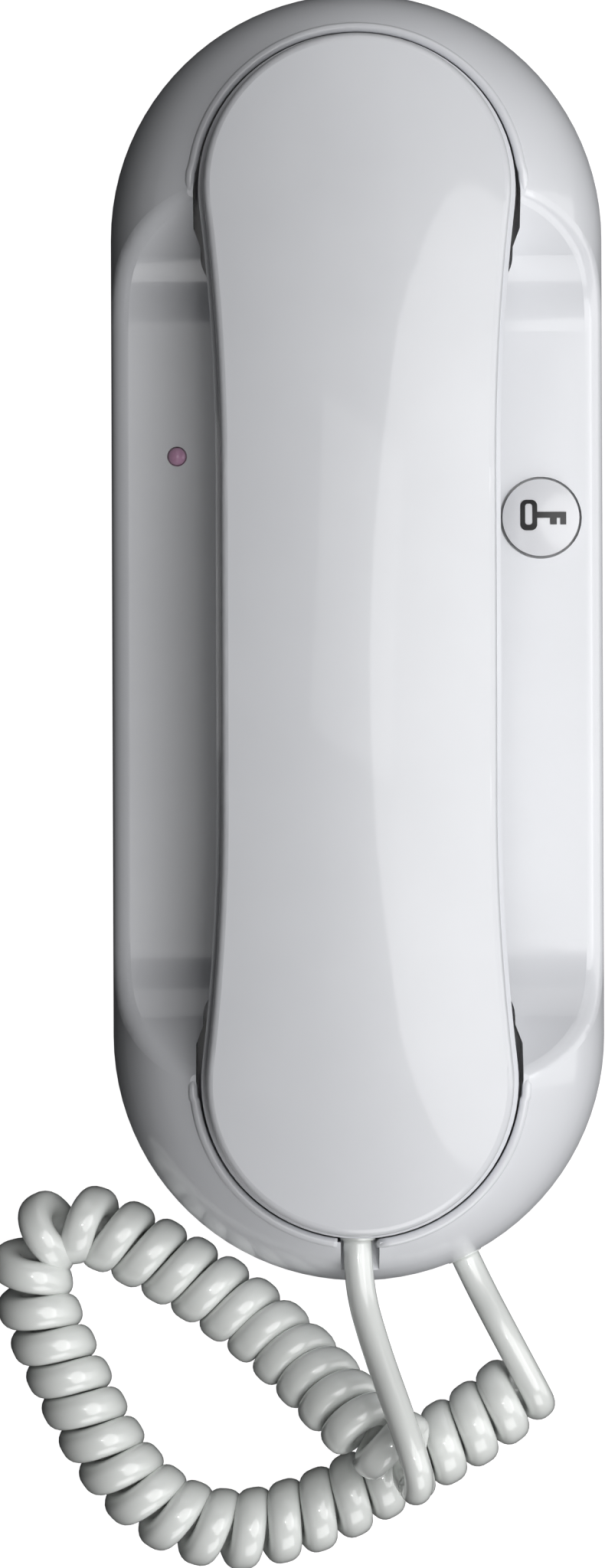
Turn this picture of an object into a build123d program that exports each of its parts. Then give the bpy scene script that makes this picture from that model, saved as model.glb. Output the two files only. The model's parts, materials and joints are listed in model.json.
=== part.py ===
from build123d import *
from bisect import bisect_left, bisect_right
from math import atan2, ceil, cos, degrees, dist, floor, hypot, pi, radians, sin, sqrt, tan
import os

os.makedirs("parts", exist_ok=True)

# The door phone lies on its back: +Z out of its front, +Y towards the ear end, +X to the right.
# The origin is the middle of the back. Lengths are millimetres and angles degrees.

# Wall unit
base_length = 215
base_width = 82
base_wall = 2.2
skirt_height = 15
deck_height = 17.5
crest_height = 30.5
crest_inset = 12.2
crown_lean = 80
ramp_angle = 43
ramp_blend = 18
ramp_edge_radius = 3
ramp_edge_least = 0.5

# Cradle pockets for the two ends of the handset
pocket_rim = 14
pocket_end_margin = 7
pocket_side_length = 9
pocket_throat_inset = 1.1
pocket_throat_length = 6.5
pocket_shoulder = 3
pocket_corner = 5
pocket_floor = 13.5
pocket_floor_wall = 2

# Handset
handset_gap = 0.9
waist_draw = 2.8
waist_half_length = 27
ledge = 0.8
handset_crest = 47
bow_radius = 472
crown_radius = 90
front_depth = 8
shell_wall = 2
face_fillet = 1.6
grip_height = 27.5
grip_setback = 2
grip_slope = 80
grip_blend = 11
cup_blend = 3
cup_fillet = 1.5
lip_depth = 1.6
lip_wall = 1.2
lip_root_depth = 0.7

# Clearances and cutting overrun
seat_gap = 0.3
slide_gap = 0.25
running_gap = 0.15
overrun = 1

# Cord
wire = 4.8
curl_radius = 4.35
curl_pitch = 5.35
curl_sides = 6
curl_side_reach = 0.485
curl_start_angle = 90
curl_step = 180
axis_steps = 24
gap_spacing = 0.6
run_share = 0.45
lead_offset = -0.4
gland_parting_gap = 0.46
base_lead_height = 9
base_lead_angle = -64.6
base_lead_run = 5.5
handset_lead_run = 3.7
handset_lead_start = 2.1
notch_width = 6.4
notch_drop = 3.1
gland_radius = 3
gland_flange = 1.4
gland_flange_radius = 3.6
gland_proud = 0.4

# Back plate and wall fixings
plate_thickness = 2
wall_hole_inset = 11
wall_hole_offset = 20
wall_slot_length = 8
wall_slot_radius = 2.1
wire_entry_width = 28
wire_entry_length = 24
wire_entry_corner = 3
post_radius = 3
locating_tab_width = 10
locating_tab_height = 6
locating_tab_wall = 1.6
locating_tab_setback = 2.6
locating_tab_offset = 7

# Circuit board and what stands on it
board_margin = 8
board_bottom_end = -6
board_top_margin = 5
board_corner = 3
board_thickness = 1.6
board_lift = 1
board_screw_inset = 4.5
screw_radius = 1.4
screw_head_radius = 2.7
screw_head_height = 1.5
screw_slot_width = 0.8
screw_slot_depth = 0.7
board_screw_length = 4
terminal_count = 5
terminal_pitch = 5
terminal_depth = 8.2
terminal_height = 8.5
terminal_margin = 1
terminal_screw_radius = 1.5
terminal_screw_length = 3
terminal_wire_hole = 2.6
terminal_wire_depth = 5
terminal_wire_height = 2
sounder_radius = 13
sounder_height = 7.5
sounder_port_radius = 2
sounder_port_depth = 1
sounder_setback = 18
sound_slot_length = 16
sound_slot_width = 1.6
sound_slot_pitch = 4
sound_slot_count = 5

# Hook switch
hook_setback = 11.5
hook_travel = 3
hook_stem_radius = 3
hook_collar_radius = 4.5
hook_collar = 1
hook_pin_radius = 1.1
hook_pin_reach = 0.8
hook_switch_size = 9
hook_switch_height = 1.6
hook_spring_radius = 2.6
hook_spring_wall = 0.9

# Door button and call light
button_inset = 10.4
button_row = 19.8
button_radius = 6.4
button_proud = 1.9
button_dome = 1
button_crown = 2
button_travel = 1.5
button_skirt = 1
button_flange = 1.2
button_flange_height = 1
button_gap = 0.45
button_stem_radius = 1.6
switch_size = 6
switch_height = 3.6
switch_plunger_radius = 1.75
switch_plunger_height = 1
switch_slack = 0.2
button_spring_wall = 0.6
button_spring_radius = 5.1
led_inset = 11
led_row = 30.2
led_radius = 1.5
led_proud = 1.1
led_collar = 0.4
led_collar_height = 1
led_leg_radius = 0.3
led_leg_pitch = 1.27
led_spacer_radius = 2.4
led_spacer_bore = 1.2

# Inside the handset
ear_end_margin = 18.3
ear_hole_radius = 1.1
ear_hole_circle = 5
ear_hole_count = 6
earpiece_margin = 10.8
earpiece_rim = 2.5
earpiece_height = 7
earpiece_step = 2.5
gasket_wall = 3
gasket_height = 1.2
mouth_end_margin = 12.8
mouth_slot_length = 7
mouth_slot_width = 1.6
mouth_slot_pitch = 3.4
mouth_slot_count = 3
microphone_radius = 4.85
microphone_height = 5
microphone_lift = 0.5
boot_wall = 1.4
boot_height = 6.5
weight_margin = 16
weight_width = 18
weight_height = 5
shell_screw_setback = 20
shell_boss_radius = 4.5
shell_boss_height = 8.5
pillar_radius = 3.2
shell_screw_length = 12
shell_screw_sink = 3

# Cover screw
cover_screw_setback = 8
cover_post_radius = 4
cover_screw_length = 10

# The coil's axis, from the handset's lead to the wall unit's lead: the control points of its curve
coil_route = [
    (9.4, -136.4, 21.7), (5.4, -134.9, 21.5), (1, -131.9, 20), (-3.9, -127.3, 15.8),
    (-9.9, -121.4, 10.8), (-17.4, -114.9, 7.7), (-25.4, -109.2, 7.1), (-33.1, -104.6, 7.1),
    (-40.6, -100.4, 7.1), (-47.2, -97.9, 7.1), (-53.2, -99.6, 7.1), (-55.6, -105.5, 7.1),
    (-54.2, -112.4, 7.1), (-51.4, -119, 7.1), (-48.1, -125.8, 7.1), (-44.6, -132.9, 7.1),
    (-40, -140.2, 7.1), (-33.9, -146.2, 7.1), (-26.4, -149.6, 7.1), (-18.7, -150.1, 7.1),
    (-10.7, -148.1, 7.1), (-2.7, -145, 7.1), (4.9, -140.5, 7.1), (12.6, -136.4, 7.1),
    (19.5, -132.2, 7.1), (24.3, -128.6, 7.1), (28.6, -124.9, 7.1),
]
# The handset's lead between its straight start and its fold over the coil
handset_lead_route = [
    (2.4, -117.5, 27.2), (6.3, -128.2, 32.5), (8.9, -135.9, 34.6), (9.6, -139.2, 33.2),
]

# Levels and places that follow from the sizes above
end_centre = (base_length - base_width) / 2
pocket_width = base_width - 2 * pocket_rim
pocket_throat_width = pocket_width - 2 * pocket_throat_inset
pocket_reach = base_length / 2 - pocket_end_margin
pocket_centre = pocket_reach - pocket_width / 2
pocket_throat_start = pocket_centre - pocket_side_length
pocket_inner_end = pocket_throat_start - pocket_throat_length
ramp_start = pocket_inner_end
face_reach = pocket_reach - handset_gap - ledge
face_end_radius = pocket_width / 2 - handset_gap - ledge
face_waist = face_end_radius - waist_draw
ear_row = face_reach - ear_end_margin
earpiece_radius = face_end_radius - earpiece_margin
earpiece_front_radius = earpiece_radius - earpiece_rim
mouth_row = mouth_end_margin - face_reach
hook_row = ear_row - hook_setback
sounder_row = pocket_inner_end - sounder_setback
shell_screw_row = pocket_inner_end - shell_screw_setback
cover_screw_row = cover_screw_setback - pocket_inner_end
wall_hole_row = cover_screw_row + wall_hole_offset
wall_hole_spacing = base_width - 2 * wall_hole_inset
button_place = (base_width / 2 - button_inset, button_row)
led_place = (led_inset - base_width / 2, led_row)
board_width = base_width - 2 * board_margin
board_top_end = hook_row + board_top_margin
weight_length = 2 * (shell_screw_row - weight_margin)
grip_half_length = pocket_inner_end + grip_setback
deck_underside = deck_height - base_wall
pocket_underside = pocket_floor - pocket_floor_wall
board_bottom = plate_thickness + board_lift
board_top = board_bottom + board_thickness
board_length = board_top_end - board_bottom_end
board_middle = (board_top_end + board_bottom_end) / 2
board_hole_span = board_width - 2 * board_screw_inset
board_hole_length = board_length - 2 * board_screw_inset
cup_bottom = pocket_floor + seat_gap
cup_floor = cup_bottom + shell_wall
grip_floor = grip_height + shell_wall
grip_end = grip_half_length + (grip_height - cup_bottom) / tan(radians(grip_slope))
bow_centre = handset_crest - bow_radius
parting_radius = bow_radius - front_depth
plate_inset = base_wall + slide_gap
parting_end_level = bow_centre + sqrt(parting_radius**2 - face_reach**2)
lead_height = parting_end_level - gland_flange_radius - gland_parting_gap
notch_floor = lead_height - notch_drop
notch_reach = base_length / 2 - base_wall


def upright(radius, height, place=(0, 0, 0)):
    """A round post that stands on a place."""
    with BuildPart(Plane(origin=place)) as post:
        Cylinder(radius, height, align=(Align.CENTER, Align.CENTER, Align.MIN))
    return post.part


def block(size, place):
    """A block that stands on a place."""
    with BuildPart(Plane(origin=place)) as body:
        Box(size[0], size[1], size[2], align=(Align.CENTER, Align.CENTER, Align.MIN))
    return body.part


def stadium(inset):
    """The wall unit's outline, moved in by inset."""
    with BuildSketch() as outline:
        SlotOverall(base_length - 2 * inset, base_width - 2 * inset, rotation=90)
    return outline.sketch


def arc_through(radius, start_angle, end_angle, centre):
    """Start, middle and end of an arc about a centre."""
    angles = (start_angle, (start_angle + end_angle) / 2, end_angle)
    return [
        (centre[0] + radius * cos(radians(a)), centre[1] + radius * sin(radians(a)))
        for a in angles
    ]


# Half of the crown's section: the skirt leans in to a rim whose crest is crest_inset inside the skirt
crown_rise = crest_height - skirt_height
crown_chord_angle = degrees(atan2(crown_rise, crest_inset))
crown_arc_radius = hypot(crest_inset, crown_rise) / 2 / sin(radians(crown_lean - crown_chord_angle))


def crown_section(inset, base, place):
    """Half section of the crowned body, from its axis outwards, with its skin moved in by inset."""
    half_width = base_width / 2
    centre = (
        half_width - crown_arc_radius * sin(radians(crown_lean)),
        skirt_height - crown_arc_radius * cos(radians(crown_lean)),
    )
    low, middle, high = arc_through(
        crown_arc_radius - inset, 90 - crown_lean, 90 + crown_lean - 2 * crown_chord_angle, centre
    )
    with BuildSketch(Plane.XZ.offset(place)) as section:
        with BuildLine():
            if inset > 0:
                Line(low, (half_width - inset, low[1]))
            Polyline((half_width - inset, low[1]), (half_width - inset, base), (0, base), (0, high[1]), high)
            ThreePointArc(high, middle, low)
        make_face()
    return section.sketch


def crowned_form(inset, base):
    """The crowned body of the wall unit, with its skin moved in by inset."""
    with BuildPart() as form:
        add(extrude(crown_section(inset, base, 0), amount=-end_centre))
        add(revolve(crown_section(inset, base, -end_centre), Axis((0, end_centre, 0), (0, 0, 1)), 180))
        mirror(about=Plane.YZ)
        mirror(about=Plane.XZ)
    return form.part


def scoop(grow):
    """The space across the unit where a hand reaches the handset, grown by grow."""
    level = deck_height - grow
    start = ramp_start + grow * tan(radians(ramp_angle / 2))
    top = crest_height + overrun
    end = start + (top - level) / tan(radians(ramp_angle))
    with BuildPart() as space:
        with BuildSketch(Plane.YZ):
            with BuildLine():
                FilletPolyline(
                    (-end, top), (-start, level), (start, level), (end, top),
                    radius=[ramp_blend + grow, ramp_blend + grow],
                )
                Line((end, top), (-end, top))
            make_face()
        extrude(amount=base_width / 2 + overrun, both=True)
    return space.part


def pocket(grow, floor):
    """The upper cradle pocket, grown by grow; it narrows where the handset's grip leaves it."""
    wide = pocket_width / 2 + grow
    narrow = pocket_throat_width / 2 + grow
    inner = pocket_inner_end - grow
    throat = pocket_throat_start - grow / 2
    shoulder = throat + pocket_shoulder
    with BuildPart() as space:
        with BuildSketch(Plane.XY.offset(floor)) as outline:
            with Locations((0, pocket_centre)):
                Circle(wide)
                Rectangle(2 * wide, 2 * wide, align=(Align.CENTER, Align.MAX), mode=Mode.SUBTRACT)
            with BuildLine():
                Polyline(
                    (-wide, pocket_centre), (-wide, shoulder), (-narrow, throat), (-narrow, inner),
                    (narrow, inner), (narrow, throat), (wide, shoulder), (wide, pocket_centre), close=True,
                )
            make_face()
            fillet(outline.vertices().group_by(Axis.Y)[0], radius=pocket_corner + grow)
        extrude(amount=crest_height + overrun - floor)
    return space.part


def notch(grow):
    """The way for the handset's lead through the lower rim, grown by grow."""
    start = pocket_reach - notch_width
    with BuildPart() as space:
        with Locations((0, -(start + notch_reach + grow) / 2, notch_floor - grow)):
            Box(
                notch_width + 2 * grow, notch_reach + grow - start, crest_height,
                align=(Align.CENTER, Align.CENTER, Align.MIN),
            )
    return space.part


gland_normal = Vector(cos(radians(base_lead_angle)), sin(radians(base_lead_angle)), 0)
gland_axis_point = Vector(0, -end_centre, base_lead_height)


def gland_plane(reach):
    """A plane square to the wall unit's lead, at a distance from the end's centre."""
    return Plane(origin=gland_axis_point + gland_normal * reach, x_dir=(0, 0, 1), z_dir=gland_normal)


def ramp_edges(form):
    """The edges where the ramps meet the crowned skin, on a body that has no pockets yet."""
    found = ShapeList()
    for edge in form.edges():
        box = edge.bounding_box()
        if box.min.Z > deck_height + ramp_edge_least and box.size.Z > 2 * ramp_edge_least:
            if ramp_start < abs(edge.center().Y) < end_centre + crest_inset:
                found.append(edge)
    return found


with BuildPart() as hollow:
    add(crowned_form(base_wall, -overrun))
    add(scoop(base_wall), mode=Mode.SUBTRACT)
    add(pocket(base_wall, pocket_underside), mode=Mode.SUBTRACT)
    add(pocket(base_wall, pocket_underside).mirror(Plane.XZ), mode=Mode.SUBTRACT)
    add(notch(base_wall), mode=Mode.SUBTRACT)

with BuildPart() as base_cover:
    add(crowned_form(0, 0))
    add(scoop(0), mode=Mode.SUBTRACT)
    fillet(ramp_edges(base_cover.part), radius=ramp_edge_radius)
    add(pocket(0, pocket_floor), mode=Mode.SUBTRACT)
    add(pocket(0, pocket_floor).mirror(Plane.XZ), mode=Mode.SUBTRACT)
    add(hollow.part, mode=Mode.SUBTRACT)
    add(notch(0), mode=Mode.SUBTRACT)
    with Locations((*button_place, deck_height)):
        Hole(button_radius + button_gap, depth=deck_height)
    with Locations((*led_place, deck_height)):
        Hole(led_radius + running_gap, depth=deck_height)
    with Locations((0, hook_row, pocket_floor)):
        Hole(hook_stem_radius + slide_gap, depth=pocket_floor)
    with Locations((0, cover_screw_row, deck_height)):
        CounterSinkHole(
            screw_radius + running_gap, screw_head_radius + slide_gap, depth=deck_height,
            counter_sink_angle=90,
        )
    with BuildSketch(Plane.XY.offset(deck_height)):
        with Locations((0, sounder_row)):
            with GridLocations(sound_slot_pitch, sound_slot_pitch, 1, sound_slot_count):
                SlotOverall(sound_slot_length, sound_slot_width)
    extrude(amount=-2 * base_wall, mode=Mode.SUBTRACT)
    with BuildSketch(gland_plane(base_width / 2 + overrun)):
        Circle(gland_radius + slide_gap)
    extrude(amount=-(3 * base_wall), mode=Mode.SUBTRACT)

# Back plate
with BuildPart() as back_plate:
    with BuildSketch():
        add(stadium(plate_inset))
        with Locations((0, wall_hole_row)):
            RectangleRounded(wire_entry_width, wire_entry_length, wire_entry_corner, mode=Mode.SUBTRACT)
            with GridLocations(wall_hole_spacing, wall_hole_spacing, 2, 1):
                SlotOverall(wall_slot_length, 2 * wall_slot_radius, mode=Mode.SUBTRACT)
    extrude(amount=plate_thickness)
    with Locations((0, board_middle, plate_thickness)):
        with GridLocations(board_hole_span, board_hole_length, 2, 2):
            Cylinder(post_radius, board_lift, align=(Align.CENTER, Align.CENTER, Align.MIN))
    with Locations((0, board_middle, board_bottom)):
        with GridLocations(board_hole_span, board_hole_length, 2, 2):
            Hole(screw_radius + running_gap, depth=board_screw_length - board_thickness + running_gap)
    with Locations((0, cover_screw_row, plate_thickness)):
        Cylinder(
            cover_post_radius, deck_underside - running_gap - plate_thickness,
            align=(Align.CENTER, Align.CENTER, Align.MIN),
        )
    with Locations((0, cover_screw_row, deck_underside)):
        Hole(screw_radius + running_gap, depth=cover_screw_length)
    with Locations((0, base_length / 2 - plate_inset - locating_tab_setback, plate_thickness)):
        with GridLocations(2 * locating_tab_offset, 1, 2, 1):
            Box(
                locating_tab_width, locating_tab_wall, locating_tab_height,
                align=(Align.CENTER, Align.MAX, Align.MIN),
            )

# Cover screw, countersunk
with BuildPart() as cover_screw:
    with Locations((0, cover_screw_row, deck_height)):
        Cone(
            screw_radius, screw_head_radius, screw_head_radius - screw_radius,
            align=(Align.CENTER, Align.CENTER, Align.MAX),
        )
        Cylinder(screw_radius, cover_screw_length, align=(Align.CENTER, Align.CENTER, Align.MAX))
    with Locations((0, cover_screw_row, deck_height)):
        Box(
            2 * screw_head_radius, screw_slot_width, screw_slot_depth,
            align=(Align.CENTER, Align.CENTER, Align.MAX), mode=Mode.SUBTRACT,
        )


def pan_screw(place, length, turn):
    """A slotted pan-head screw whose head sits on a place; turn 180 puts its head below."""
    with BuildPart(Plane(origin=place, z_dir=(0, 0, 1 if turn == 0 else -1))) as screw:
        Cylinder(screw_head_radius, screw_head_height, align=(Align.CENTER, Align.CENTER, Align.MIN))
        Cylinder(screw_radius, length, align=(Align.CENTER, Align.CENTER, Align.MAX))
        with Locations((0, 0, screw_head_height)):
            Box(
                2 * screw_head_radius, screw_slot_width, screw_slot_depth,
                align=(Align.CENTER, Align.CENTER, Align.MAX), mode=Mode.SUBTRACT,
            )
    return screw.part


# Circuit board and its screws
board_holes = [
    (side * board_hole_span / 2, board_middle + end * board_hole_length / 2)
    for side in (-1, 1) for end in (-1, 1)
]
with BuildPart() as circuit_board:
    with BuildSketch(Plane.XY.offset(board_bottom)):
        with Locations((0, board_middle)):
            RectangleRounded(board_width, board_length, board_corner)
        with Locations(*board_holes):
            Circle(screw_radius + running_gap, mode=Mode.SUBTRACT)
    extrude(amount=board_thickness)

with BuildPart() as board_screws:
    for hole in board_holes:
        add(pan_screw((*hole, board_top), board_screw_length, 0))

# Terminal block
terminal_row = board_bottom_end + terminal_margin + terminal_depth / 2
terminal_top = board_top + terminal_height
with BuildPart() as terminal_block:
    with Locations((0, terminal_row, board_top)):
        Box(
            terminal_count * terminal_pitch + 2 * terminal_margin, terminal_depth, terminal_height,
            align=(Align.CENTER, Align.CENTER, Align.MIN),
        )
    with Locations((0, terminal_row, terminal_top)):
        with GridLocations(terminal_pitch, terminal_pitch, terminal_count, 1):
            Hole(terminal_screw_radius + running_gap, depth=terminal_screw_length + running_gap)
    with BuildSketch(Plane.XZ.offset(-(terminal_row - terminal_depth / 2))):
        with Locations((0, board_top + terminal_wire_height)):
            with GridLocations(terminal_pitch, terminal_pitch, terminal_count, 1):
                Rectangle(terminal_wire_hole, terminal_wire_hole)
    extrude(amount=-terminal_wire_depth, mode=Mode.SUBTRACT)

with BuildPart() as terminal_screws:
    with Locations((0, terminal_row, terminal_top)):
        with GridLocations(terminal_pitch, terminal_pitch, terminal_count, 1):
            Cylinder(
                terminal_screw_radius, terminal_screw_length,
                align=(Align.CENTER, Align.CENTER, Align.MAX),
            )
            Box(
                2 * terminal_screw_radius, screw_slot_width, screw_slot_depth,
                align=(Align.CENTER, Align.CENTER, Align.MAX), mode=Mode.SUBTRACT,
            )

# Call sounder
with BuildPart() as call_sounder:
    add(upright(sounder_radius, sounder_height, (0, sounder_row, board_top)))
    with Locations((0, sounder_row, board_top + sounder_height)):
        Hole(sounder_port_radius, depth=sounder_port_depth)

# Hook switch, its plunger and spring: the handset holds the plunger down by hook_travel
switch_top = board_top + hook_switch_height
collar_bottom = pocket_underside - seat_gap - hook_travel - hook_collar
with BuildPart() as hook_switch:
    add(block((hook_switch_size, hook_switch_size, hook_switch_height), (0, hook_row, board_top)))
    with Locations((0, hook_row, switch_top)):
        Hole(hook_pin_radius + slide_gap, depth=hook_switch_height - running_gap)

with BuildPart() as hook_plunger:
    add(upright(hook_collar_radius, hook_collar, (0, hook_row, collar_bottom)))
    add(upright(hook_stem_radius, cup_bottom - running_gap - collar_bottom, (0, hook_row, collar_bottom)))
    pin_bottom = switch_top - hook_pin_reach
    add(upright(hook_pin_radius, collar_bottom - pin_bottom, (0, hook_row, pin_bottom)))

with BuildPart() as hook_spring:
    add(upright(hook_spring_radius, collar_bottom - switch_top, (0, hook_row, switch_top)))
    with Locations((0, hook_row, collar_bottom)):
        Hole(hook_spring_radius - hook_spring_wall, depth=collar_bottom - switch_top)

# Door button, its switch and spring
flange_top = deck_underside - slide_gap
button_top = deck_height + button_proud
shoulder = button_top - button_dome
ceiling = button_top - button_dome - button_crown
tact_top = board_top + switch_height + switch_plunger_height
stem_bottom = tact_top + button_travel + switch_slack
dome_radius = (button_radius**2 + button_dome**2) / (2 * button_dome)
with BuildPart() as door_button:
    with BuildSketch(Plane.XZ.offset(-button_place[1])):
        with BuildLine():
            Polyline(
                (0, button_top), (0, stem_bottom), (button_stem_radius, stem_bottom),
                (button_stem_radius, ceiling), (button_radius - button_skirt, ceiling),
                (button_radius - button_skirt, flange_top - button_flange_height),
                (button_radius + button_flange, flange_top - button_flange_height),
                (button_radius + button_flange, flange_top), (button_radius, flange_top),
                (button_radius, shoulder),
            )
            RadiusArc((button_radius, shoulder), (0, button_top), -dome_radius)
        make_face()
    revolve(axis=Axis((0, button_place[1], 0), (0, 0, 1)))
door_button.part = Pos(button_place[0], 0, 0) * door_button.part

with BuildPart() as button_switch:
    add(block((switch_size, switch_size, switch_height), (*button_place, board_top)))
    add(
        upright(
            switch_plunger_radius, switch_plunger_height,
            (*button_place, board_top + switch_height),
        )
    )

with BuildPart() as button_spring:
    add(upright(button_spring_radius, ceiling - board_top, (*button_place, board_top)))
    with Locations((*button_place, ceiling)):
        Hole(button_spring_radius - button_spring_wall, depth=ceiling - board_top)

# Call light and the sleeve that holds it off the board
led_collar_top = deck_underside - slide_gap
led_collar_bottom = led_collar_top - led_collar_height
led_dome_base = deck_height + led_proud - led_radius
with BuildPart() as status_led:
    add(upright(led_radius + led_collar, led_collar_height, (*led_place, led_collar_bottom)))
    add(upright(led_radius, led_dome_base - led_collar_bottom, (*led_place, led_collar_bottom)))
    with Locations((*led_place, led_dome_base)):
        Sphere(led_radius)
    with Locations((*led_place, led_collar_bottom)):
        with GridLocations(led_leg_pitch, led_leg_pitch, 2, 1):
            Cylinder(
                led_leg_radius, led_collar_bottom - board_top,
                align=(Align.CENTER, Align.CENTER, Align.MAX),
            )

with BuildPart() as led_spacer:
    add(upright(led_spacer_radius, led_collar_bottom - board_top, (*led_place, board_top)))
    with Locations((*led_place, led_collar_bottom)):
        Hole(led_spacer_bore, depth=led_collar_bottom - board_top)

# Gland in the wall unit's skirt
wall_inner = sqrt((base_width / 2 - base_wall) ** 2 - gland_flange_radius**2) - running_gap
gland_face = base_width / 2 + gland_proud
with BuildPart() as base_gland:
    with BuildSketch(gland_plane(wall_inner)):
        Circle(gland_flange_radius)
    extrude(amount=-gland_flange)
    with BuildSketch(gland_plane(wall_inner)):
        Circle(gland_radius)
    extrude(amount=gland_face - wall_inner)

# Handset outlines: an end circle, a long hollow arc and a straight waist, mirrored twice
outline_centre = face_reach - face_end_radius
waist_rise = outline_centre - waist_half_length
waist_radius = (face_waist**2 + waist_rise**2 - face_end_radius**2) / (
    2 * (face_end_radius - face_waist)
)


def handset_outline(grow, level):
    """The handset's outline, grown by grow."""
    end_radius = face_end_radius + grow
    waist = face_waist + grow
    arc_x = waist_radius + face_waist
    lean = degrees(atan2(-waist_rise, arc_x))
    end = arc_through(end_radius, lean, 90, (0, outline_centre))
    side = arc_through(waist_radius - grow, 180, 180 + lean, (arc_x, waist_half_length))
    with BuildSketch(Plane.XY.offset(level)) as outline:
        with BuildLine():
            Polyline((0, outline_centre + end_radius), (0, 0), (waist, 0), (waist, waist_half_length))
            ThreePointArc(*side)
            ThreePointArc(*end)
        make_face()
        mirror(about=Plane.YZ)
        mirror(about=Plane.XZ)
    return outline.sketch


def bowed_ring(low, high_inset, crowned):
    """A wide ring about the bow's axis, flat or crowned outside, that cuts the handset's levels."""
    half = face_end_radius + 3 * overrun
    low_level = bow_centre + low
    with BuildPart() as ring:
        with BuildSketch(Plane.XZ):
            with BuildLine():
                if crowned:
                    crown = crown_radius - high_inset
                    top = handset_crest - high_inset
                    edge = top - crown + sqrt(crown**2 - half**2)
                    ThreePointArc((half, edge), (0, top), (-half, edge))
                else:
                    edge = bow_centre + high_inset
                    Line((half, edge), (-half, edge))
                Polyline((-half, edge), (-half, low_level), (half, low_level), (half, edge))
            make_face()
        revolve(axis=Axis((0, 0, bow_centre), (1, 0, 0)))
    return ring.part


def prism(grow, level, top):
    """The handset's outline, grown and raised between two levels."""
    with BuildPart() as body:
        add(extrude(handset_outline(grow, level), amount=top - level))
    return body.part


handset_top = handset_crest + overrun
# The outer shell: face, rounded edge, wall and two screw pillars
with BuildPart() as handset_outer_shell:
    add(prism(0, cup_bottom, handset_top))
    add(bowed_ring(parting_radius, 0, True), mode=Mode.INTERSECT)
    face_edges = handset_outer_shell.faces().sort_by(Axis.Z)[-1].edges()
    fillet(face_edges, radius=face_fillet)
    with BuildPart(mode=Mode.PRIVATE) as outer_cavity:
        add(prism(-shell_wall, cup_bottom, handset_top))
        add(bowed_ring(parting_radius - front_depth, shell_wall, True), mode=Mode.INTERSECT)
    add(outer_cavity.part, mode=Mode.SUBTRACT)
    pillar_bottom = grip_floor + shell_boss_height + running_gap
    with BuildPart(mode=Mode.PRIVATE) as pillars:
        for end in (-1, 1):
            add(
                upright(
                    pillar_radius, handset_crest - shell_wall / 2 - pillar_bottom,
                    (0, end * shell_screw_row, pillar_bottom),
                )
            )
        add(bowed_ring(parting_radius - 2 * front_depth, shell_wall / 2, True), mode=Mode.INTERSECT)
    add(pillars.part)
    with Locations((0, shell_screw_row, pillar_bottom), (0, -shell_screw_row, pillar_bottom)):
        Cylinder(
            screw_radius + running_gap, grip_height + shell_screw_sink + shell_screw_length
            + running_gap - pillar_bottom,
            align=(Align.CENTER, Align.CENTER, Align.MIN), mode=Mode.SUBTRACT,
        )


def underside(grow, top):
    """Everything above the handset's underside, whose arch gives the fingers room; grown upwards."""
    level = cup_bottom + grow
    arch = grip_height + grow
    shift = grow * tan(radians(grip_slope / 2))
    inner = grip_half_length + shift
    outer = grip_end + shift
    end = face_reach + 5 * overrun
    with BuildPart() as space:
        with BuildSketch(Plane.YZ):
            with BuildLine():
                FilletPolyline(
                    (-end, level), (-outer, level), (-inner, arch), (inner, arch), (outer, level),
                    (end, level),
                    radius=[cup_blend - grow, grip_blend + grow, grip_blend + grow, cup_blend - grow],
                )
                Polyline((end, level), (end, top), (-end, top), (-end, level))
            make_face()
        extrude(amount=face_end_radius + 3 * overrun, both=True)
    return space.part


parting_disc = bowed_ring(parting_radius - 2 * face_waist, parting_radius, False)
tall_disc = bowed_ring(parting_radius - 2 * face_waist, parting_radius + overrun, False)
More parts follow.
